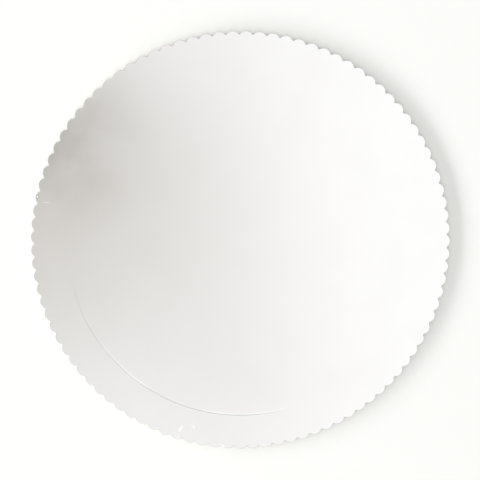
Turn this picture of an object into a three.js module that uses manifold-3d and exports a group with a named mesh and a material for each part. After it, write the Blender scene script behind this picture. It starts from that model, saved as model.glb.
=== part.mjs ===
// A round card cake board in one piece: a die-cut scalloped edge, a flat film-faced top with a
// pressed ring that marks where the cake sits, and a flat underside.
// Millimetres, +Z up. The origin is the centre of the underside, and +X runs through a scallop's tip.
import * as THREE from "three";
import { mergeVertices } from "three/addons/utils/BufferGeometryUtils.js";
import Module from "manifold-3d";

// The blank
const boardDiameter = 300; // across opposite scallop tips
const boardThickness = 3;

// The scalloped edge
const scallopCount = 98;
const scallopDepth = 2.3; // from a tip down to the floor of the valley beside it
const valleyRadius = 0.6; // inside corner between two scallops, as tight as a bent cutting rule goes
const topEdgeRadius = 0.5; // the cutting rule pulls the film down over the edge as it goes in
const bottomEdgeChamfer = 0.15; // the fibres that the rule crushes as it comes through

// The pressed ring
const ringDiameter = 249; // measured at the bottom of the groove
const ringWall = 0.3; // width of the groove's steep wall, outside its bottom
const ringSlope = 1.5; // width of its gentle slope, inside its bottom
const ringDepth = 0.28;

// How finely the curves are faceted
const lobeSteps = 6; // along one scallop's round, even so that a corner falls on the tip
const valleySteps = 2; // along one valley's round
const topEdgeSteps = 2;
const ringWallSteps = 3;
const ringSlopeSteps = 4;
const ringFacets = 2 * scallopCount; // round the groove
const cutterRise = 1; // how far the groove's cutter stands clear of the face

const film = new THREE.MeshStandardMaterial({
  name: "silver_film",
  color: 0xe8e8e6,
  metalness: 0.9,
  roughness: 0.32,
});

const wasm = await Module();
wasm.setup();

// A manifold solid from a closed three.js geometry.
function solidFrom(geometry) {
  const bare = geometry.clone();
  bare.deleteAttribute("normal");
  bare.deleteAttribute("uv");
  const merged = mergeVertices(bare, 1e-4);
  return new wasm.Manifold(
    new wasm.Mesh({
      numProp: 3,
      vertProperties: merged.attributes.position.array,
      triVerts: new Uint32Array(merged.index.array),
    }),
  );
}

// A three.js geometry from a manifold solid.
function geometryFrom(solid) {
  const mesh = solid.getMesh();
  const geometry = new THREE.BufferGeometry();
  geometry.setAttribute("position", new THREE.BufferAttribute(mesh.vertProperties, 3));
  geometry.setIndex(new THREE.BufferAttribute(mesh.triVerts, 1));
  geometry.computeVertexNormals();
  return geometry;
}

// One scallop is a round lobe with its centre on the scallop's own radius, and one valley is a small
// round with its centre outside the edge, half a pitch further on. The lobe's radius is the one that
// makes the two meet in a common tangent.
function scallopForm() {
  const halfPitch = Math.PI / scallopCount;
  const tipRadius = boardDiameter / 2;
  const valleyCentre = tipRadius - scallopDepth + valleyRadius;
  const along = valleyCentre * Math.cos(halfPitch);
  const lobeRadius =
    (tipRadius ** 2 + valleyCentre ** 2 - 2 * tipRadius * along - valleyRadius ** 2) /
    (2 * (tipRadius - along + valleyRadius));
  const lobeCentre = tipRadius - lobeRadius;
  // The tangent's direction from the lobe's centre towards the valley's.
  const tangent = Math.atan2(valleyCentre * Math.sin(halfPitch), along - lobeCentre);
  return { halfPitch, valleyCentre, lobeRadius, lobeCentre, tangent };
}

// Points of an arc about a centre on the radius at the angle `turn`, without the arc's last point.
function arcPoints(turn, centreDistance, radius, from, to, steps) {
  const points = [];
  for (let i = 0; i < steps; i++) {
    const angle = turn + from + ((to - from) * i) / steps;
    points.push(
      new THREE.Vector2(
        centreDistance * Math.cos(turn) + radius * Math.cos(angle),
        centreDistance * Math.sin(turn) + radius * Math.sin(angle),
      ),
    );
  }
  return points;
}

// The scalloped outline, counterclockwise, moved in by `inset` everywhere: the lobes shrink by it and
// the valleys grow by it, so that every inset outline has the same number of points.
function scallopedOutline(inset) {
  const { halfPitch, valleyCentre, lobeRadius, lobeCentre, tangent } = scallopForm();
  const valleyTurn = Math.PI + tangent - halfPitch;
  const points = [];
  for (let i = 0; i < scallopCount; i++) {
    const tip = 2 * i * halfPitch;
    const valley = tip + halfPitch;
    points.push(
      ...arcPoints(tip, lobeCentre, lobeRadius - inset, -tangent, tangent, lobeSteps),
      ...arcPoints(
        valley,
        valleyCentre,
        valleyRadius + inset,
        valleyTurn,
        2 * Math.PI - valleyTurn,
        valleySteps,
      ),
    );
  }
  return points;
}

// The edge's section from the underside up to the face, as pairs of inset and height.
function edgeSection() {
  const section = [
    { inset: bottomEdgeChamfer, height: 0 },
    { inset: 0, height: bottomEdgeChamfer },
  ];
  for (let i = 0; i <= topEdgeSteps; i++) {
    const angle = (Math.PI / 2) * (i / topEdgeSteps);
    section.push({
      inset: topEdgeRadius * (1 - Math.cos(angle)),
      height: boardThickness - topEdgeRadius * (1 - Math.sin(angle)),
    });
  }
  return section;
}

// The blank: the scalloped outline lofted through the edge's section and closed by two flat faces.
function scallopedBlank() {
  const rings = edgeSection().map(({ inset, height }) => ({ height, outline: scallopedOutline(inset) }));
  const around = rings[0].outline.length;
  const positions = rings.flatMap(({ height, outline }) => outline.flatMap(({ x, y }) => [x, y, height]));
  const index = [];
  for (let ring = 0; ring + 1 < rings.length; ring++) {
    for (let i = 0; i < around; i++) {
      const low = ring * around + i;
      const lowNext = ring * around + ((i + 1) % around);
      index.push(low, lowNext, lowNext + around, low, lowNext + around, low + around);
    }
  }
  const lastRing = (rings.length - 1) * around;
  const underside = THREE.ShapeUtils.triangulateShape(rings[0].outline, []);
  const face = THREE.ShapeUtils.triangulateShape(rings[rings.length - 1].outline, []);
  underside.forEach(([a, b, c]) => index.push(c, b, a));
  face.forEach(([a, b, c]) => index.push(lastRing + a, lastRing + b, lastRing + c));
  const geometry = new THREE.BufferGeometry();
  geometry.setAttribute("position", new THREE.Float32BufferAttribute(positions, 3));
  geometry.setIndex(index);
  return solidFrom(geometry);
}

// What the pressed ring takes out of the face: the nose of a bevelled creasing rule, turned about Z.
// The wall and the slope each rise from the groove's bottom as half a wave, so that they leave the
// face softly.
function pressedRing() {
  const bottom = ringDiameter / 2;
  const profile = [];
  for (let i = -ringSlopeSteps; i <= ringWallSteps; i++) {
    const share = i < 0 ? i / ringSlopeSteps : i / ringWallSteps;
    const width = i < 0 ? ringSlope : ringWall;
    const depth = (ringDepth * (1 + Math.cos(Math.PI * share))) / 2;
    profile.push(new THREE.Vector2(bottom + width * share, boardThickness - depth));
  }
  profile.push(new THREE.Vector2(bottom + ringWall, boardThickness + cutterRise));
  profile.push(new THREE.Vector2(bottom - ringSlope, boardThickness + cutterRise));
  profile.push(profile[0].clone());
  return solidFrom(new THREE.LatheGeometry(profile, ringFacets).rotateX(Math.PI / 2));
}

function cakeBoard() {
  const mesh = new THREE.Mesh(geometryFrom(scallopedBlank().subtract(pressedRing())), film);
  mesh.name = "cake_board";
  return mesh;
}

const part = new THREE.Group();
part.name = "scalloped_cake_board";
part.add(cakeBoard());

export default part;
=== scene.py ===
"""A round card cake board: satin silver film over solid grey card, a die-cut scalloped edge and a
pressed ring. One operator makes the board and one makes the stage that it lies on."""

import math

import bpy
import numpy as np
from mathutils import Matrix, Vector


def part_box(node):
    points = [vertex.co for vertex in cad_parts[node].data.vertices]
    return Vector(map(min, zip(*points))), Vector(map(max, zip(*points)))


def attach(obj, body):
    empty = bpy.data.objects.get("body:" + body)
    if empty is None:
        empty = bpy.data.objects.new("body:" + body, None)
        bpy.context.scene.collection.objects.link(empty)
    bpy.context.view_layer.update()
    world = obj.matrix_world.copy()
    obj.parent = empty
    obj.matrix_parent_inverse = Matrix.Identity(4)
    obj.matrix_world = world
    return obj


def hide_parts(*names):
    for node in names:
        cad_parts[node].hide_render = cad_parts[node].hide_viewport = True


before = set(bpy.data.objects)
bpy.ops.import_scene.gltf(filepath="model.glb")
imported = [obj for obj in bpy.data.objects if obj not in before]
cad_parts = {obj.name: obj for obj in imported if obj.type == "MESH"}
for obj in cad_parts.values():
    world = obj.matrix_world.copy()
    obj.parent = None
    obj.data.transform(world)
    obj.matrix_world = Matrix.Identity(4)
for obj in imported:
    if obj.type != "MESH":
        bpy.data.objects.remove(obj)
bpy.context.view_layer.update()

bl_info = {
    "name": "Cake Board",
    "version": (1, 0, 0),
    "blender": (4, 5, 0),
    "location": "3D View > Sidebar > Cake Board",
    "description": "Makes a round scalloped card cake board and the stage that it lies on",
    "category": "Add Mesh",
}

MM = 0.001
NODE = "cake_board"
BODY = "root"
BOX_LOW, BOX_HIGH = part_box(NODE)

# The attribute that holds how far a point lies from the cut edge, and the map that runs round the edge
FROM_EDGE = "from_edge"
ROUND_MAP = "round_the_edge"

# Which of the board's materials a face takes
FILM = 0
CUT_EDGE = 1
UNDERSIDE = 2

# Radii of the mesh's plain circles: the one that the scalloped outline turns into, and those of the
# flat stretches of the underside and the face
RIM_CIRCLE = 144 * MM
UNDERSIDE_CIRCLES = (20 * MM, 60 * MM, 100 * MM, 130 * MM, RIM_CIRCLE)
FACE_CIRCLES_OUTSIDE_RING = (RIM_CIRCLE, 134 * MM)
FACE_CIRCLES_WITHIN_RING = (115 * MM, 95 * MM, 70 * MM, 45 * MM, 20 * MM)

# Shares of the way from that first circle out to the scallops at which further rings lie
UNDERSIDE_RIM_SHARE = 0.7
FACE_RIM_SHARES = (0.985, 0.8, 0.4)

# Shares of a side's width at which the pressed ring's circles lie, from its far end to the bottom
# on the wall and from near the bottom to its far end on the slope
WALL_SHARES = (1, 0.92, 0.85, 0.65, 0.4, 0.15, 0.08)
SLOPE_SHARES = np.linspace(0.1, 1, 11)

# How much of the wall, of the slope and of the ring's fading ends is rounded
WALL_SOFTNESS = 0.15
SLOPE_SOFTNESS = 0.4
FADE_SOFTNESS = 0.4

# How much the bare card and the paper shine
CARD_SHINE = 0.3


class BoardSizes(bpy.types.PropertyGroup):
    """The sizes of the board."""

    diameter: bpy.props.FloatProperty(
        name="Diameter",
        description="Across opposite scallop tips",
        default=BOX_HIGH.x - BOX_LOW.x,
        unit="LENGTH",
    )
    thickness: bpy.props.FloatProperty(
        name="Thickness",
        description="From the underside to the film face",
        default=BOX_HIGH.z - BOX_LOW.z,
        unit="LENGTH",
    )
    scallops: bpy.props.IntProperty(
        name="Scallops",
        description="How many scallops go round the edge",
        default=98,
        min=12,
    )
    scallop_depth: bpy.props.FloatProperty(
        name="Scallop Depth",
        description="From a tip down to the floor of the valley beside it",
        default=2.3 * MM,
        unit="LENGTH",
    )
    valley_radius: bpy.props.FloatProperty(
        name="Valley Radius",
        description="Inside corner between two scallops",
        default=0.6 * MM,
        unit="LENGTH",
    )
    top_edge_radius: bpy.props.FloatProperty(
        name="Top Edge Radius",
        description="How round the cutting rule leaves the film's edge",
        default=0.5 * MM,
        unit="LENGTH",
    )
    bottom_edge_chamfer: bpy.props.FloatProperty(
        name="Bottom Edge Chamfer",
        description="Width of the crushed fibres round the underside",
        default=0.15 * MM,
        unit="LENGTH",
    )
    ply_relief: bpy.props.FloatProperty(
        name="Ply Relief",
        description="How far the card's plies stand in and out on the cut edge",
        default=0.035 * MM,
        unit="LENGTH",
    )
    ring_diameter: bpy.props.FloatProperty(
        name="Ring Diameter",
        description="Of the pressed ring, at the bottom of its groove",
        default=249 * MM,
        unit="LENGTH",
    )
    ring_wall: bpy.props.FloatProperty(
        name="Ring Wall",
        description="Width of the steep wall outside the ring's bottom, where it is pressed fully",
        default=0.3 * MM,
        unit="LENGTH",
    )
    ring_slope: bpy.props.FloatProperty(
        name="Ring Slope",
        description="Width of the pressed ring's gentle slope, inside its bottom",
        default=1.5 * MM,
        unit="LENGTH",
    )
    ring_depth: bpy.props.FloatProperty(
        name="Ring Depth",
        description="Depth of the groove under the film face, where it is pressed fully",
        default=0.28 * MM,
        unit="LENGTH",
    )
    ring_start: bpy.props.FloatProperty(
        name="Ring Start",
        description="Where the stretch that is pressed in starts, counterclockwise from +X",
        default=math.radians(180),
        subtype="ANGLE",
    )
    ring_end: bpy.props.FloatProperty(
        name="Ring End",
        description="Where the stretch that is pressed in ends, counterclockwise from +X",
        default=math.radians(290.5),
        subtype="ANGLE",
    )
    ring_start_fade: bpy.props.FloatProperty(
        name="Start Fade",
        description="How far the ring takes from its start to its full depth",
        default=math.radians(42),
        subtype="ANGLE",
    )
    ring_end_fade: bpy.props.FloatProperty(
        name="End Fade",
        description="How far the ring takes from its full depth to its end",
        default=math.radians(27),
        subtype="ANGLE",
    )


class BoardColours(bpy.types.PropertyGroup):
    """The colours of the board."""

    film: bpy.props.FloatVectorProperty(
        name="Film",
        description="Satin silver film on the face",
        default=(0.905, 0.903, 0.898),
        size=3,
        subtype="COLOR",
    )
    scuff: bpy.props.FloatVectorProperty(
        name="Scuff",
        description="Film that has been rubbed white",
        default=(0.93, 0.93, 0.92),
        size=3,
        subtype="COLOR",
    )
    card_light: bpy.props.FloatVectorProperty(
        name="Light Card",
        description="The paler plies of the cut edge",
        default=(0.5, 0.47, 0.42),
        size=3,
        subtype="COLOR",
    )
    card_dark: bpy.props.FloatVectorProperty(
        name="Dark Card",
        description="The darker plies of the cut edge",
        default=(0.3, 0.28, 0.25),
        size=3,
        subtype="COLOR",
    )
    paper: bpy.props.FloatVectorProperty(
        name="Paper",
        description="The plain paper on the underside",
        default=(0.71, 0.69, 0.65),
        size=3,
        subtype="COLOR",
    )
    paper_fibre: bpy.props.FloatVectorProperty(
        name="Paper Fibre",
        description="The darker fibres in the paper",
        default=(0.5, 0.46, 0.41),
        size=3,
        subtype="COLOR",
    )


class StageSettings(bpy.types.PropertyGroup):
    """The floor, the light and the camera."""

    floor_size: bpy.props.FloatProperty(
        name="Floor Size",
        description="Side of the square floor",
        default=8.0,
        unit="LENGTH",
    )
    floor_colour: bpy.props.FloatVectorProperty(
        name="Floor",
        description="Colour of the plain floor",
        default=(0.92, 0.926, 0.903),
        size=3,
        subtype="COLOR",
    )
    key_power: bpy.props.FloatProperty(
        name="Key Power",
        description="Power of the low soft light on the left, in watts",
        default=830.0,
    )
    camera_place: bpy.props.FloatVectorProperty(
        name="Camera Place",
        description="Where the camera stands",
        default=(-0.0204, 0.0468, 0.4681),
        size=3,
        subtype="TRANSLATION",
    )
    camera_turn: bpy.props.FloatVectorProperty(
        name="Camera Turn",
        description="The camera's turns about X, Y and Z",
        default=(math.radians(-5.19), math.radians(-2.333), math.radians(-1.07)),
        size=3,
        subtype="EULER",
    )
    camera_lens: bpy.props.FloatProperty(
        name="Camera Lens",
        description="Focal length in millimetres on a 36 mm sensor",
        default=49.12,
    )


# The board's surface


def arcs(turns, centre_distance, radius, start, end, steps):
    """Points of one arc for each angle in `turns`, as an array (turns, steps, 2).

    Each arc's centre lies at `centre_distance` along its own angle, and the arc runs from `start`
    towards `end`, both counted from that angle. The last point is left to the arc that follows."""
    angle = turns[:, None] + start + (end - start) * np.arange(steps) / steps
    x = centre_distance * np.cos(turns)[:, None] + radius * np.cos(angle)
    y = centre_distance * np.sin(turns)[:, None] + radius * np.sin(angle)
    return np.stack([x, y], axis=-1)


def scalloped_outline(sizes, inset):
    """The die-cut outline moved in by `inset`, counterclockwise, as an array (points, 2).

    A scallop is an arc about a centre on the scallop's own radius. A valley is a small arc about a
    centre outside the edge, half a pitch on. The scallop's radius is the one that gives the two arcs
    a common tangent. Moving in takes `inset` off the scallops' radius and adds it to the valleys'."""
    lobe_steps, valley_steps = 12, 4
    half_pitch = math.pi / sizes.scallops
    tip = sizes.diameter / 2
    valley_centre = tip - sizes.scallop_depth + sizes.valley_radius
    along = valley_centre * math.cos(half_pitch)
    squares = tip**2 + valley_centre**2 - sizes.valley_radius**2
    lobe_radius = (squares - 2 * tip * along) / (2 * (tip - along + sizes.valley_radius))
    lobe_centre = tip - lobe_radius
    tangent = math.atan2(valley_centre * math.sin(half_pitch), along - lobe_centre)
    valley_start = math.pi + tangent - half_pitch
    turns = 2 * half_pitch * np.arange(sizes.scallops)
    lobes = arcs(turns, lobe_centre, lobe_radius - inset, -tangent, tangent, lobe_steps)
    valleys = arcs(
        turns + half_pitch,
        valley_centre,
        sizes.valley_radius + inset,
        valley_start,
        2 * math.pi - valley_start,
        valley_steps,
    )
    return np.concatenate([lobes, valleys], axis=1).reshape(-1, 2)


def level(outline, height):
    """An outline at one height, as an array (points, 3)."""
    return np.column_stack([outline, np.broadcast_to(height, len(outline))])


def circle(turns, radius):
    """Points at the outline's angles, at one radius or at a radius for each angle."""
    return np.column_stack([radius * np.cos(turns), radius * np.sin(turns)])


def ply_waves(turns, heights):
    """How far each point of the cut edge stands out, from -1 to 1, as an array (heights, turns).

    Six waves are added up. Each rises and falls a few times from the underside to the face, so that
    it runs along the plies, and swells a whole number of times round the board, so that it closes."""
    wave_count, swell = 6, 0.6
    draw = np.random.default_rng(7)
    swells_round_board = draw.integers(20, 700, wave_count)
    radians_per_metre = draw.uniform(2000, 14000, wave_count)
    phases = draw.uniform(0, 2 * math.pi, (2, wave_count))
    waves = [
        np.sin(rise * heights[:, None] + first) * (1 + swell * np.sin(count * turns[None, :] + second))
        for count, rise, first, second in zip(swells_round_board, radians_per_metre, *phases)
    ]
    return np.sum(waves, axis=0) / ((1 + swell) * wave_count)


def underside_rings(turns, rim):
    """Rings of the underside from near its centre to the scallops: circles that turn into the rim."""
    inside = circle(turns, RIM_CIRCLE)
    towards_rim = inside + UNDERSIDE_RIM_SHARE * (rim - inside)
    return [level(circle(turns, radius), 0) for radius in UNDERSIDE_CIRCLES] + [level(towards_rim, 0)]


def edge_rings(sizes, turns):
    """Rings up the cut edge: the crushed corner, then a wall whose plies stand in and out."""
    ring_count, small_inset = 13, 0.1 * MM
    chamfer = sizes.bottom_edge_chamfer
    top = sizes.thickness - sizes.top_edge_radius
    heights = np.linspace(chamfer, top, ring_count)
    outline = scalloped_outline(sizes, 0)
    outward = outline - scalloped_outline(sizes, small_inset)
    outward /= np.linalg.norm(outward, axis=1)[:, None]
    fade = np.sin(math.pi * np.linspace(0, 1, ring_count))[:, None]
    relief = sizes.ply_relief * fade * ply_waves(turns, heights)
    foot = level(scalloped_outline(sizes, chamfer), 0)
    return [foot] + [level(outline + out[:, None] * outward, h) for out, h in zip(relief, heights)]


def rolled_rings(sizes):
    """Rings over the film's rounded edge: a quarter circle in inset and height, without its foot."""
    steps = 6
    angles = np.linspace(0, math.pi / 2, steps + 1)[1:]
    radius = sizes.top_edge_radius
    insets = radius * (1 - np.cos(angles))
    heights = sizes.thickness - radius * (1 - np.sin(angles))
    return [level(scalloped_outline(sizes, i), h) for i, h in zip(insets, heights)]


def soft_ramp(share, softness):
    """Rises from 0 to 1 with the share: a straight line, but for a parabola of the length `softness`
    at each end that runs into the level on that side."""
    share = np.clip(share, 0, 1)
    slope = 1 / (1 - softness)
    start = slope * share**2 / (2 * softness)
    middle = slope * (share - softness / 2)
    end = 1 - slope * (1 - share) ** 2 / (2 * softness)
    return np.where(share < softness, start, np.where(share > 1 - softness, end, middle))


def ring_pressure(sizes, turns):
    """How hard the ring is pressed at each angle, from 0 to 1: a soft ramp up from the ring's start,
    times a soft ramp down to its end."""
    place = turns % (2 * math.pi)
    grown = soft_ramp((place - sizes.ring_start) / sizes.ring_start_fade, FADE_SOFTNESS)
    return grown * soft_ramp((sizes.ring_end - place) / sizes.ring_end_fade, FADE_SOFTNESS)


def pressed_rings(sizes, turns):
    """Rings through the pressed ring, from its steep outer wall to its gentle inner slope.

    Both fall from the face to the groove's bottom as soft ramps. The depth goes with the pressure,
    and two small sines round the board make it waver. The wall's width goes with the pressure, down
    to a tenth, so that the wall keeps its angle until it fades. Rings close beside the wall keep
    its shading from spreading."""
    pressed = ring_pressure(sizes, turns)
    waver = 1 + 0.12 * np.sin(9 * turns + 1.2) + 0.08 * np.sin(23 * turns)
    depth = sizes.ring_depth * pressed * waver
    slope = sizes.ring_slope
    wall = sizes.ring_wall * (0.1 + 0.9 * pressed)
    beside = 0.12 * wall
    outside = [wall + beside] + [share * wall for share in WALL_SHARES]
    inside = [0 * wall, beside] + [share * slope for share in SLOPE_SHARES]
    sides = ((1, wall, WALL_SOFTNESS, outside), (-1, slope, SLOPE_SOFTNESS, inside))
    rings = []
    for side, width, softness, distances in sides:
        for distance in distances:
            drop = depth * soft_ramp(1 - distance / width, softness)
            outline = circle(turns, sizes.ring_diameter / 2 + side * distance)
            rings.append(level(outline, sizes.thickness - drop))
    return rings


def face_rings(sizes, turns, rim):
    """Rings of the face from the rim, which turns into a circle, to near the face's centre."""
    inside = circle(turns, RIM_CIRCLE)
    rings = [level(inside + share * (rim - inside), sizes.thickness) for share in FACE_RIM_SHARES]
    bottom = sizes.ring_diameter / 2
    clear = 0.2 * MM
    outside = (*FACE_CIRCLES_OUTSIDE_RING, bottom + sizes.ring_wall + clear)
    within = (bottom - sizes.ring_slope - clear, *FACE_CIRCLES_WITHIN_RING)
    rings += [level(circle(turns, radius), sizes.thickness) for radius in outside]
    rings += pressed_rings(sizes, turns)
    rings += [level(circle(turns, radius), sizes.thickness) for radius in within]
    return rings


def ring_quads(ring_count, around):
    """Corner numbers of the quads between neighbouring rings, as an array (quads, 4)."""
    low = np.arange(ring_count - 1)[:, None] * around + np.arange(around)[None, :]
    low_next = np.roll(low, -1, axis=1)
    return np.stack([low, low_next, low_next + around, low + around], axis=-1).reshape(-1, 4)


def board_mesh(sizes):
    """The whole board as one closed mesh: rings carried from the underside's centre to the face's."""
    rim = scalloped_outline(sizes, sizes.top_edge_radius)
    foot = scalloped_outline(sizes, sizes.bottom_edge_chamfer)
    tips = scalloped_outline(sizes, 0)
    turns = np.arctan2(tips[:, 1], tips[:, 0])
    parts = [
        underside_rings(turns, foot),
        edge_rings(sizes, turns),
        rolled_rings(sizes),
        face_rings(sizes, turns, rim),
    ]
    rings = np.array([ring for part in parts for ring in part])
    ring_count, around = rings.shape[:2]
    points = np.vstack([rings.reshape(-1, 3), [(0, 0, 0), (0, 0, sizes.thickness)]])
    step = np.arange(around)
    step_next = np.roll(step, -1)
    last = (ring_count - 1) * around
    underside_fan = np.column_stack([np.full(around, ring_count * around), step_next, step])
    face_fan = np.column_stack([last + step, last + step_next, np.full(around, len(points) - 1)])
    quads = ring_quads(ring_count, around)
    mesh = bpy.data.meshes.new(NODE + "_dressed")
    mesh.from_pydata(points, [], [*quads.tolist(), *underside_fan.tolist(), *face_fan.tolist()])
    give_materials(mesh, around, len(parts[0]), len(parts[1]), ring_count)
    mesh.polygons.foreach_set("use_smooth", np.ones(len(mesh.polygons), bool))
    mesh.set_sharp_from_angle(angle=math.radians(40))
    store_edge_distance(mesh, sizes, points)
    store_round_map(mesh, tips, points, ring_count)
    mesh.validate()
    return mesh


def give_materials(mesh, around, underside_count, edge_count, ring_count):
    """Gives each band of quads between two rings its material, and then each of the two fans."""
    bands = np.full(ring_count - 1, FILM)
    bands[:underside_count] = UNDERSIDE
    bands[underside_count : underside_count + edge_count - 1] = CUT_EDGE
    slots = np.concatenate([np.repeat(bands, around), np.full(around, UNDERSIDE), np.full(around, FILM)])
    mesh.polygons.foreach_set("material_index", slots.astype(np.int32))


def store_edge_distance(mesh, sizes, points):
    """Gives each point its distance from the scallops' tips, measured along its radius."""
    distance = sizes.diameter / 2 - np.hypot(points[:, 0], points[:, 1])
    attribute = mesh.attributes.new(FROM_EDGE, "FLOAT", "POINT")
    attribute.data.foreach_set("value", distance.astype(np.float32))


def store_round_map(mesh, tips, points, ring_count):
    """A UV map for the cut edge: the length along the outline and the height, both in metres."""
    around = len(tips)
    lengths = np.linalg.norm(np.roll(tips, -1, axis=0) - tips, axis=1)
    along = np.concatenate([[0], np.cumsum(lengths)])
    corners = np.zeros(len(mesh.loops), np.int32)
    mesh.loops.foreach_get("vertex_index", corners)
    place = along[corners % around]
    quad_corners = (ring_count - 1) * around * 4
    quad = np.arange(quad_corners) // 4 % around
    corner = np.arange(quad_corners) % 4
    closes = (quad == around - 1) & ((corner == 1) | (corner == 2))
    place[:quad_corners][closes] = along[-1]
    uv = np.column_stack([place, points[corners, 2]])
    mesh.uv_layers.new(name=ROUND_MAP).data.foreach_set("uv", uv.ravel().astype(np.float32))


# The board's materials


def node(tree, kind, inputs=None, **settings):
    """A new node, with its settings and the values of its named inputs."""
    made = tree.nodes.new(kind)
    for name, value in settings.items():
        setattr(made, name, value)
    for name, value in (inputs or {}).items():
        made.inputs[name].default_value = value
    return made


def wire(tree, start, end):
    """Joins two sockets, each given as a node and its socket's name or number."""
    tree.links.new(start[0].outputs[start[1]], end[0].inputs[end[1]])


def math_node(tree, operation, first, second=None, clamp=False):
    """A Math node over sockets or numbers, given back as its output."""
    made = node(tree, "ShaderNodeMath", operation=operation, use_clamp=clamp)
    for slot, value in enumerate([first, second]):
        if isinstance(value, tuple):
            wire(tree, value, (made, slot))
        elif value is not None:
            made.inputs[slot].default_value = value
    return made, "Value"


def stretched(tree, source, scale):
    """Coordinates scaled along each axis, in repeats a metre, for a texture whose own scale is 1."""
    made = node(tree, "ShaderNodeMapping", {"Scale": scale})
    wire(tree, source, (made, "Vector"))
    return made, "Vector"


def noise(tree, source, scale=1.0, detail=2.0, roughness=0.5, distortion=0.0):
    """A noise texture over the given coordinates, given back as its value."""
    values = {"Scale": scale, "Detail": detail, "Roughness": roughness, "Distortion": distortion}
    made = node(tree, "ShaderNodeTexNoise", values)
    wire(tree, source, (made, "Vector"))
    return made, "Fac"


def ranged(tree, value, low, high, start=0.0, end=1.0):
    """Maps `low` to `high` onto `start` to `end` with a smooth step, and holds it there beyond them."""
    values = {"From Min": low, "From Max": high, "To Min": start, "To Max": end}
    made = node(tree, "ShaderNodeMapRange", values, interpolation_type="SMOOTHSTEP")
    wire(tree, value, (made, "Value"))
    return made, "Result"


def mixed(tree, mask, first, second):
    """A colour that goes from `first` to `second` with the mask."""
    made = node(tree, "ShaderNodeMix", data_type="RGBA")
    wire(tree, mask, (made, "Factor"))
    for name, value in (("A", first), ("B", second)):
        socket = next(s for s in made.inputs if s.name == name and s.type == "RGBA")
        if isinstance(value, tuple) and isinstance(value[0], bpy.types.Node):
            tree.links.new(value[0].outputs[value[1]], socket)
        else:
            socket.default_value = (*value, 1)
    return made, 2


def group_of(name, inputs, outputs):
    """An empty node group with float or vector inputs and float outputs."""
    tree = bpy.data.node_groups.new(name, "ShaderNodeTree")
    for label, value in inputs.items():
        kind = "NodeSocketVector" if value is None else "NodeSocketFloat"
        socket = tree.interface.new_socket(label, in_out="INPUT", socket_type=kind)
        if value is not None:
            socket.default_value = value
    for label in outputs:
        tree.interface.new_socket(label, in_out="OUTPUT", socket_type="NodeSocketFloat")
    return tree, node(tree, "NodeGroupInput"), node(tree, "NodeGroupOutput")


def scaled_vector(tree, given):
    """A group's own coordinates times its own scale."""
    made = node(tree, "ShaderNodeVectorMath", operation="SCALE")
    wire(tree, (given, "Vector"), (made, 0))
    wire(tree, (given, "Scale"), (made, "Scale"))
    return made, 0


def fibre_group():
    """Card fibres: thin wandering veins in one mask, and the cloudy look of pressed pulp in another.

    A vein runs where a twisted noise passes through its middle value, so its mask is one less the
    distance from that value, sharpened."""
    inputs = {"Vector": None, "Scale": 900.0, "Sharpness": 9.0}
    tree, given, made = group_of("card_fibres", inputs, ["Fibres", "Cloud"])
    scaled = scaled_vector(tree, given)
    twisted = noise(tree, scaled, detail=3.0, roughness=0.6, distortion=1.8)
    off_middle = math_node(tree, "ABSOLUTE", math_node(tree, "SUBTRACT", twisted, 0.5))
    sharpened = math_node(tree, "MULTIPLY", off_middle, (given, "Sharpness"))
    wire(tree, math_node(tree, "SUBTRACT", 1.0, sharpened, clamp=True), (made, "Fibres"))
    wire(tree, noise(tree, scaled, scale=0.06, detail=4.0, roughness=0.55), (made, "Cloud"))
    return tree


def edge_wear_group():
    """Wear that starts at the cut edge and breaks up inwards: a ramp of the distance, times noise."""
    inputs = {"Vector": None, "Distance": 0.0, "Width": 1.0 * MM, "Scale": 1600.0}
    tree, given, made = group_of("edge_wear", inputs, ["Mask"])
    share = math_node(tree, "DIVIDE", (given, "Distance"), (given, "Width"))
    near = math_node(tree, "SUBTRACT", 1.0, share, clamp=True)
    broken = ranged(tree, noise(tree, scaled_vector(tree, given), detail=3.0), 0.52, 0.66)
    wire(tree, math_node(tree, "MULTIPLY", near, broken), (made, "Mask"))
    return tree


def rub_group():
    """Fine straight rub marks: noise stretched hard one way, where it passes a high threshold."""
    inputs = {"Vector": None, "Turn": 0.0, "Amount": 0.5}
    tree, given, made = group_of("rub_marks", inputs, ["Mask"])
    turned = node(tree, "ShaderNodeVectorRotate", rotation_type="Z_AXIS")
    wire(tree, (given, "Vector"), (turned, "Vector"))
    wire(tree, (given, "Turn"), (turned, "Angle"))
    lines = noise(tree, stretched(tree, (turned, 0), (28, 2600, 1)))
    patches = noise(tree, stretched(tree, (turned, 0), (22, 40, 1)), detail=1.0)
    fine = ranged(tree, lines, 0.66, 0.78)
    there = ranged(tree, patches, 0.45, 0.65)
    both = math_node(tree, "MULTIPLY", fine, there)
    wire(tree, math_node(tree, "MULTIPLY", both, (given, "Amount")), (made, "Mask"))
    return tree


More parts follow.
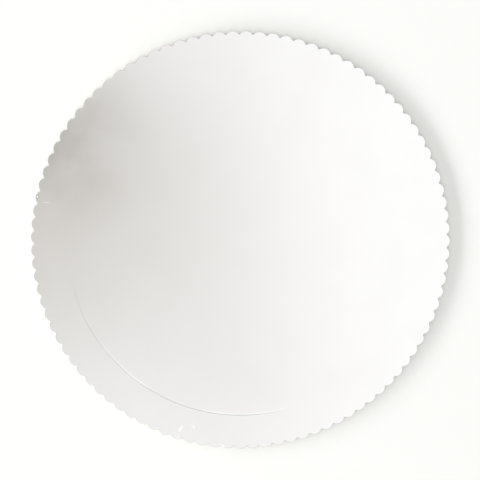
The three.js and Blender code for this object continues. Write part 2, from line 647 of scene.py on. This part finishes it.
def scuff_group():
    """One rubbed spot: an ellipse about a place, turned, with an edge that noise breaks up, and the
    rim round it."""
    inputs = {"Vector": None, "X": 0.0, "Y": 0.0, "Turn": 0.0, "Length": 2 * MM, "Width": 1 * MM}
    tree, given, made = group_of("scuff", inputs, ["Mask", "Rim"])
    place = node(tree, "ShaderNodeCombineXYZ")
    wire(tree, (given, "X"), (place, "X"))
    wire(tree, (given, "Y"), (place, "Y"))
    offset = node(tree, "ShaderNodeVectorMath", operation="SUBTRACT")
    wire(tree, (given, "Vector"), (offset, 0))
    wire(tree, (place, 0), (offset, 1))
    turned = node(tree, "ShaderNodeVectorRotate", rotation_type="Z_AXIS")
    wire(tree, (offset, 0), (turned, "Vector"))
    wire(tree, math_node(tree, "MULTIPLY", (given, "Turn"), -1.0), (turned, "Angle"))
    parts = node(tree, "ShaderNodeSeparateXYZ")
    wire(tree, (turned, 0), (parts, 0))
    along = math_node(tree, "DIVIDE", (parts, "X"), (given, "Length"))
    across = math_node(tree, "DIVIDE", (parts, "Y"), (given, "Width"))
    squares = math_node(
        tree, "ADD", math_node(tree, "POWER", along, 2.0), math_node(tree, "POWER", across, 2.0)
    )
    rough = math_node(tree, "MULTIPLY", noise(tree, (given, "Vector"), scale=1800.0), 1.3)
    reach = math_node(tree, "ADD", squares, rough)
    wire(tree, ranged(tree, reach, 0.9, 1.5, 1.0, 0.0), (made, "Mask"))
    rim = math_node(
        tree, "MULTIPLY", ranged(tree, reach, 1.1, 1.6), ranged(tree, reach, 1.8, 2.8, 0.7, 0.0)
    )
    wire(tree, rim, (made, "Rim"))
    return tree


def new_material(name):
    """A material with a Principled BSDF, its tree and the piece's Object coordinates."""
    material = bpy.data.materials.new(name)
    material.use_nodes = True
    tree = material.node_tree
    shader = tree.nodes["Principled BSDF"]
    coordinates = node(tree, "ShaderNodeTexCoord")
    return material, tree, shader, (coordinates, "Object")


def placed_group(tree, group, source, **values):
    """A node group in a material, fed with coordinates and its own values."""
    made = node(tree, "ShaderNodeGroup", node_tree=group)
    wire(tree, source, (made, "Vector"))
    for name, value in values.items():
        made.inputs[name].default_value = value
    return made


def bumped(tree, heights, shader):
    """Bump nodes in a row, one for each pair of a height and its depth in metres, into the shader."""
    last = None
    for height, depth in heights:
        made = node(tree, "ShaderNodeBump", {"Strength": 1.0, "Distance": depth})
        wire(tree, height, (made, "Height"))
        if last:
            wire(tree, (last, "Normal"), (made, "Normal"))
        last = made
    wire(tree, (last, "Normal"), (shader, "Normal"))


# Directions of the rub marks in radians, and how strong they are
RUBS = ((0.35, 0.6), (-0.9, 0.45), (1.9, 0.4))

# Rubbed spots on the film: place, turn in degrees, half length and half width, in millimetres
SCUFFS = (
    (-48.2, -133.2, 62.0, 3.2, 1.4),
    (-50.6, -138.2, 58.0, 2.4, 0.45),
    (-49.4, -139.2, 58.0, 2.0, 0.45),
    (-39.2, -132.1, 118.0, 2.9, 0.6),
    (-38.0, -131.8, 62.0, 2.2, 0.5),
    (-18.2, -147.0, -26.0, 3.4, 0.9),
    (11.6, -147.6, -25.0, 3.6, 0.9),
    (-137.8, 33.6, 0.0, 3.6, 0.17),
)

# A nick at a scallop's tip, given in the same way. The card shows round it.
NICK = (-143.7, 37.7, 60.0, 1.1, 0.8)


def largest(tree, masks):
    """The largest of several masks at each point."""
    most = masks[0]
    for mask in masks[1:]:
        most = math_node(tree, "MAXIMUM", most, mask)
    return most


def scuff_spot(tree, group, place, x, y, turn, length, width):
    """One rubbed spot of the film, in millimetres and degrees."""
    return placed_group(
        tree,
        group,
        place,
        X=x * MM,
        Y=y * MM,
        Turn=math.radians(turn),
        Length=length * MM,
        Width=width * MM,
    )


def edge_wear(tree, groups, place, width):
    """The mask of the wear that reaches in from the cut edge by up to `width`."""
    distance = node(tree, "ShaderNodeAttribute", attribute_name=FROM_EDGE)
    wear = placed_group(tree, groups["wear"], place, Width=width)
    wire(tree, (distance, "Fac"), (wear, "Distance"))
    return wear, "Mask"


def film_material(colours, groups):
    """Satin silver film: a metal face with the card's fibres showing through, rub marks and scuffs."""
    smooth_roughness, rub_roughness, scuff_roughness = 0.19, 0.12, 0.3
    material, tree, shader, place = new_material("satin_silver_film")
    fibres = placed_group(tree, groups["fibres"], place, Scale=650.0, Sharpness=5.0)
    waves = noise(tree, place, scale=55.0, roughness=0.4)
    peel = noise(tree, place, scale=900.0)
    bumped(tree, [(waves, 0.03 * MM), ((fibres, "Cloud"), 0.02 * MM), (peel, 0.0022 * MM)], shader)
    rubs = [placed_group(tree, groups["rubs"], place, Turn=turn, Amount=much) for turn, much in RUBS]
    rubbed = largest(tree, [(rub, "Mask") for rub in rubs])
    worn = edge_wear(tree, groups, place, 1.1 * MM)
    scuffs = [scuff_spot(tree, groups["scuff"], place, *scuff) for scuff in SCUFFS]
    nick = scuff_spot(tree, groups["scuff"], place, *NICK)
    white = largest(tree, [worn] + [(spot, "Mask") for spot in (*scuffs, nick)])
    smudge_noise = noise(tree, place, scale=26.0, detail=3.0, roughness=0.55)
    rough = ranged(tree, smudge_noise, 0.35, 0.7, smooth_roughness, smooth_roughness + 0.05)
    rough = math_node(tree, "ADD", rough, math_node(tree, "MULTIPLY", rubbed, rub_roughness))
    rough = math_node(tree, "ADD", rough, math_node(tree, "MULTIPLY", white, scuff_roughness))
    wire(tree, rough, (shader, "Roughness"))
    dulled = tuple(0.965 * channel for channel in colours.film)
    silver = mixed(tree, (fibres, "Cloud"), tuple(colours.film), dulled)
    rimmed = mixed(tree, (nick, "Rim"), silver, tuple(colours.card_dark))
    wire(tree, mixed(tree, white, rimmed, tuple(colours.scuff)), (shader, "Base Color"))
    metal = math_node(tree, "SUBTRACT", 1.0, math_node(tree, "MULTIPLY", white, 0.9))
    wire(tree, metal, (shader, "Metallic"))
    return material


def cut_edge_material(colours, groups):
    """Bare card: plies that run round the edge as light and dark bands, with torn fibres over them."""
    material, tree, shader, place = new_material("cut_grey_card")
    map_node = node(tree, "ShaderNodeUVMap", uv_map=ROUND_MAP)
    plies = noise(tree, stretched(tree, (map_node, "UV"), (70, 2600, 1)), detail=4.0, roughness=0.6)
    streaks = noise(tree, stretched(tree, (map_node, "UV"), (600, 9000, 1)))
    fibres = placed_group(tree, groups["fibres"], place, Scale=3200.0, Sharpness=7.0)
    banded = ranged(tree, plies, 0.35, 0.65)
    plied = mixed(tree, banded, tuple(colours.card_dark), tuple(colours.card_light))
    pale = tuple(1.3 * channel for channel in colours.card_light)
    fibrous = math_node(tree, "MULTIPLY", (fibres, "Fibres"), 0.45)
    wire(tree, mixed(tree, fibrous, plied, pale), (shader, "Base Color"))
    wire(tree, ranged(tree, streaks, 0.3, 0.7, 0.82, 0.97), (shader, "Roughness"))
    shader.inputs["Specular IOR Level"].default_value = CARD_SHINE
    heights = [(plies, 0.12 * MM), (streaks, 0.05 * MM), ((fibres, "Fibres"), 0.03 * MM)]
    bumped(tree, heights, shader)
    return material


def underside_material(colours, groups):
    """Plain paper: cloudy pulp with stray fibres and specks, darker where the edge was crushed."""
    material, tree, shader, place = new_material("plain_paper_underside")
    fibres = placed_group(tree, groups["fibres"], place, Scale=1100.0, Sharpness=12.0)
    stray = placed_group(tree, groups["fibres"], place, Scale=620.0, Sharpness=16.0)
    sparse = ranged(tree, noise(tree, place, scale=480.0, detail=1.0), 0.6, 0.68, 0.0, 0.75)
    stray_mask = math_node(tree, "MULTIPLY", (stray, "Fibres"), sparse)
    cloud = ranged(tree, (fibres, "Cloud"), 0.3, 0.7, 0.0, 0.28)
    fine = math_node(tree, "MULTIPLY", (fibres, "Fibres"), 0.22)
    pulp = mixed(tree, cloud, tuple(colours.paper), tuple(colours.paper_fibre))
    pale = tuple(min(1.0, 1.15 * channel) for channel in colours.paper)
    pulp = mixed(tree, fine, pulp, pale)
    pulp = mixed(tree, stray_mask, pulp, tuple(colours.paper_fibre))
    crushed = edge_wear(tree, groups, place, 1.4 * MM)
    wire(tree, mixed(tree, crushed, pulp, tuple(colours.card_dark)), (shader, "Base Color"))
    wire(tree, ranged(tree, (fibres, "Cloud"), 0.3, 0.7, 0.84, 0.95), (shader, "Roughness"))
    shader.inputs["Specular IOR Level"].default_value = CARD_SHINE
    bumped(tree, [((fibres, "Cloud"), 0.05 * MM), ((fibres, "Fibres"), 0.02 * MM)], shader)
    return material


class CAKEBOARD_OT_board(bpy.types.Operator):
    """Makes the board in one closed piece, with its film face, cut edge and underside"""

    bl_idname = "cakeboard.board"
    bl_label = "Add Cake Board"

    def execute(self, context):
        sizes = context.scene.cake_board_sizes
        colours = context.scene.cake_board_colours
        groups = {
            "fibres": fibre_group(),
            "wear": edge_wear_group(),
            "rubs": rub_group(),
            "scuff": scuff_group(),
        }
        mesh = board_mesh(sizes)
        mesh.materials.append(film_material(colours, groups))
        mesh.materials.append(cut_edge_material(colours, groups))
        mesh.materials.append(underside_material(colours, groups))
        board = bpy.data.objects.new("scalloped_cake_board", mesh)
        context.scene.collection.objects.link(board)
        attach(board, BODY)
        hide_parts(NODE)
        return {"FINISHED"}


# The stage


def floor_material(colour):
    """Matt studio floor with a very faint mottle."""
    material, tree, shader, place = new_material("plain_floor")
    darker = tuple(0.985 * channel for channel in colour)
    mottle = noise(tree, place, scale=9.0, detail=3.0)
    wire(tree, mixed(tree, mottle, tuple(colour), darker), (shader, "Base Color"))
    shader.inputs["Roughness"].default_value = 0.95
    shader.inputs["Specular IOR Level"].default_value = 0.0
    return material


def add_floor(scene, settings):
    """A square floor just under the board."""
    half = settings.floor_size / 2
    height = -0.2 * MM
    corners = [(-half, -half, height), (half, -half, height), (half, half, height), (-half, half, height)]
    mesh = bpy.data.meshes.new("floor")
    mesh.from_pydata(corners, [], [(0, 1, 2, 3)])
    mesh.materials.append(floor_material(settings.floor_colour))
    floor = bpy.data.objects.new("floor", mesh)
    scene.collection.objects.link(floor)


def direction_spot(tree, direction, x, y, reach):
    """A soft round mask about a direction overhead: 1 at its centre and 0 at its reach."""
    made = node(tree, "ShaderNodeVectorMath", operation="DISTANCE")
    wire(tree, direction, (made, 0))
    made.inputs[1].default_value = (x, y, math.sqrt(1 - x * x - y * y))
    return ranged(tree, (made, "Value"), 0.0, reach, 1.0, 0.0)


# The dim places overhead: direction along X and Y, reach and depth
DIM_SPOTS = (
    (-0.232, 0.083, 0.166, 0.7),
    (-0.102, -0.056, 0.364, 0.18),
    (0.08, -0.302, 0.176, 0.116),
    (-0.329, -0.117, 0.288, 0.2),
    (-0.46, -0.14, 0.26, 0.08),
    (-0.45, -0.17, 0.21, 0.24),
)

# Places lower down: direction along X and Y, reach and gain, which is below 0 for a dark place.
# The bright ones on the near side light the slope of the pressed ring, the dark one on the left
# shows in the rolled edge of the film, and the bright ones on the far side show in the face when
# it is seen from low down.
LOW_SPOTS = (
    (-0.42, -0.62, 0.3, 0.26),
    (-0.22, -0.7, 0.4, 0.32),
    (0.1, -0.78, 0.4, 0.34),
    (-0.86, 0.38, 0.6, -0.3),
    (0.62, 0.6, 0.5, 0.3),
    (-0.5, 0.8, 0.4, 0.25),
)

# Strength of the studio's ceiling on the left and on the right, and of its walls at the floor and
# at their top
CEILING = (1.004, 1.131)
WALLS = (0.3, 0.54)

# Colour of the dim places where they are deepest, and how fast they take it on with their depth
DIM_TINT = (1.09, 1.0, 0.89)
TINT_PER_DEPTH = 1.4


def studio_ceiling(tree, direction, parts):
    """The ceiling's strength, brighter on the right and dim in some places, and how tinted those are."""
    strength = ranged(tree, (parts, "X"), -0.03, 0.16, *CEILING)
    tint = None
    for x, y, reach, depth in DIM_SPOTS:
        spot = direction_spot(tree, direction, x, y, reach)
        strength = math_node(tree, "SUBTRACT", strength, math_node(tree, "MULTIPLY", spot, depth))
        shade = math_node(tree, "MULTIPLY", spot, TINT_PER_DEPTH * depth)
        tint = shade if tint is None else math_node(tree, "ADD", tint, shade, clamp=True)
    return strength, tint


def add_surroundings(scene):
    """The studio round the board: a soft ceiling over walls that darken towards the floor, with
    bright and dark places low down. The camera itself sees plain white past the floor."""
    world = bpy.data.worlds.new("studio")
    scene.world = world
    world.use_nodes = True
    tree = world.node_tree
    background = tree.nodes["Background"]
    coordinates = node(tree, "ShaderNodeTexCoord")
    direction = (coordinates, "Generated")
    parts = node(tree, "ShaderNodeSeparateXYZ")
    wire(tree, direction, (parts, 0))
    ceiling, tint = studio_ceiling(tree, direction, parts)
    height = math_node(tree, "ABSOLUTE", (parts, "Z"))
    walls = ranged(tree, height, 0.0, 0.6, *WALLS)
    overhead = ranged(tree, height, 0.55, 0.86)
    above_walls = math_node(tree, "MULTIPLY", math_node(tree, "SUBTRACT", ceiling, walls), overhead)
    strength = math_node(tree, "ADD", above_walls, walls)
    for x, y, reach, gain in LOW_SPOTS:
        spot = direction_spot(tree, direction, x, y, reach)
        strength = math_node(tree, "ADD", strength, math_node(tree, "MULTIPLY", spot, gain))
    path = node(tree, "ShaderNodeLightPath")
    seen = (path, "Is Camera Ray")
    wire(tree, math_node(tree, "MAXIMUM", strength, seen), (background, "Strength"))
    wire(tree, mixed(tree, tint, (1.0, 1.0, 1.0), DIM_TINT), (background, "Color"))


def add_key_light(scene, settings):
    """A low soft panel on the left that throws the board's shadow to the right."""
    azimuth, elevation, distance = math.radians(191), math.radians(12.5), 6.0
    panel_width, panel_height = 13.0, 1.1
    place = distance * np.array(
        [
            math.cos(elevation) * math.cos(azimuth),
            math.cos(elevation) * math.sin(azimuth),
            math.sin(elevation),
        ]
    )
    data = bpy.data.lights.new("key_panel", "AREA")
    data.shape = "RECTANGLE"
    data.size = panel_width
    data.size_y = panel_height
    data.energy = settings.key_power
    light = bpy.data.objects.new("key_panel", data)
    light.location = place
    light.rotation_euler = (math.pi / 2 - elevation, 0, azimuth + math.pi / 2)
    light.visible_camera = False
    light.visible_glossy = False
    scene.collection.objects.link(light)


def add_camera(scene, settings):
    """The photograph's camera, almost straight above the board."""
    data = bpy.data.cameras.new("camera")
    data.lens = settings.camera_lens
    data.sensor_width = 36
    camera = bpy.data.objects.new("camera", data)
    camera.location = settings.camera_place
    camera.rotation_euler = settings.camera_turn
    scene.collection.objects.link(camera)
    scene.camera = camera


class CAKEBOARD_OT_stage(bpy.types.Operator):
    """Makes the pale floor, the soft studio light and the camera above the board"""

    bl_idname = "cakeboard.stage"
    bl_label = "Add Stage"

    def execute(self, context):
        settings = context.scene.cake_board_stage
        add_floor(context.scene, settings)
        add_surroundings(context.scene)
        add_key_light(context.scene, settings)
        add_camera(context.scene, settings)
        context.scene.view_settings.view_transform = "Standard"
        return {"FINISHED"}


class CAKEBOARD_PT_sidebar(bpy.types.Panel):
    """Lists the board's operators and sizes in the sidebar"""

    bl_idname = "CAKEBOARD_PT_sidebar"
    bl_label = "Cake Board"
    bl_space_type = "VIEW_3D"
    bl_region_type = "UI"
    bl_category = "Cake Board"

    def draw(self, context):
        for group in (
            context.scene.cake_board_sizes,
            context.scene.cake_board_colours,
            context.scene.cake_board_stage,
        ):
            box = self.layout.box()
            for name in group.__annotations__:
                box.prop(group, name)
        self.layout.operator(CAKEBOARD_OT_board.bl_idname)
        self.layout.operator(CAKEBOARD_OT_stage.bl_idname)


CLASSES = (
    BoardSizes,
    BoardColours,
    StageSettings,
    CAKEBOARD_OT_board,
    CAKEBOARD_OT_stage,
    CAKEBOARD_PT_sidebar,
)


def register():
    for item in CLASSES:
        bpy.utils.register_class(item)
    bpy.types.Scene.cake_board_sizes = bpy.props.PointerProperty(type=BoardSizes)
    bpy.types.Scene.cake_board_colours = bpy.props.PointerProperty(type=BoardColours)
    bpy.types.Scene.cake_board_stage = bpy.props.PointerProperty(type=StageSettings)


def unregister():
    del bpy.types.Scene.cake_board_stage
    del bpy.types.Scene.cake_board_colours
    del bpy.types.Scene.cake_board_sizes
    for item in reversed(CLASSES):
        bpy.utils.unregister_class(item)


def main():
    register()
    bpy.ops.cakeboard.board()
    bpy.ops.cakeboard.stage()


if __name__ == "__main__":
    main()
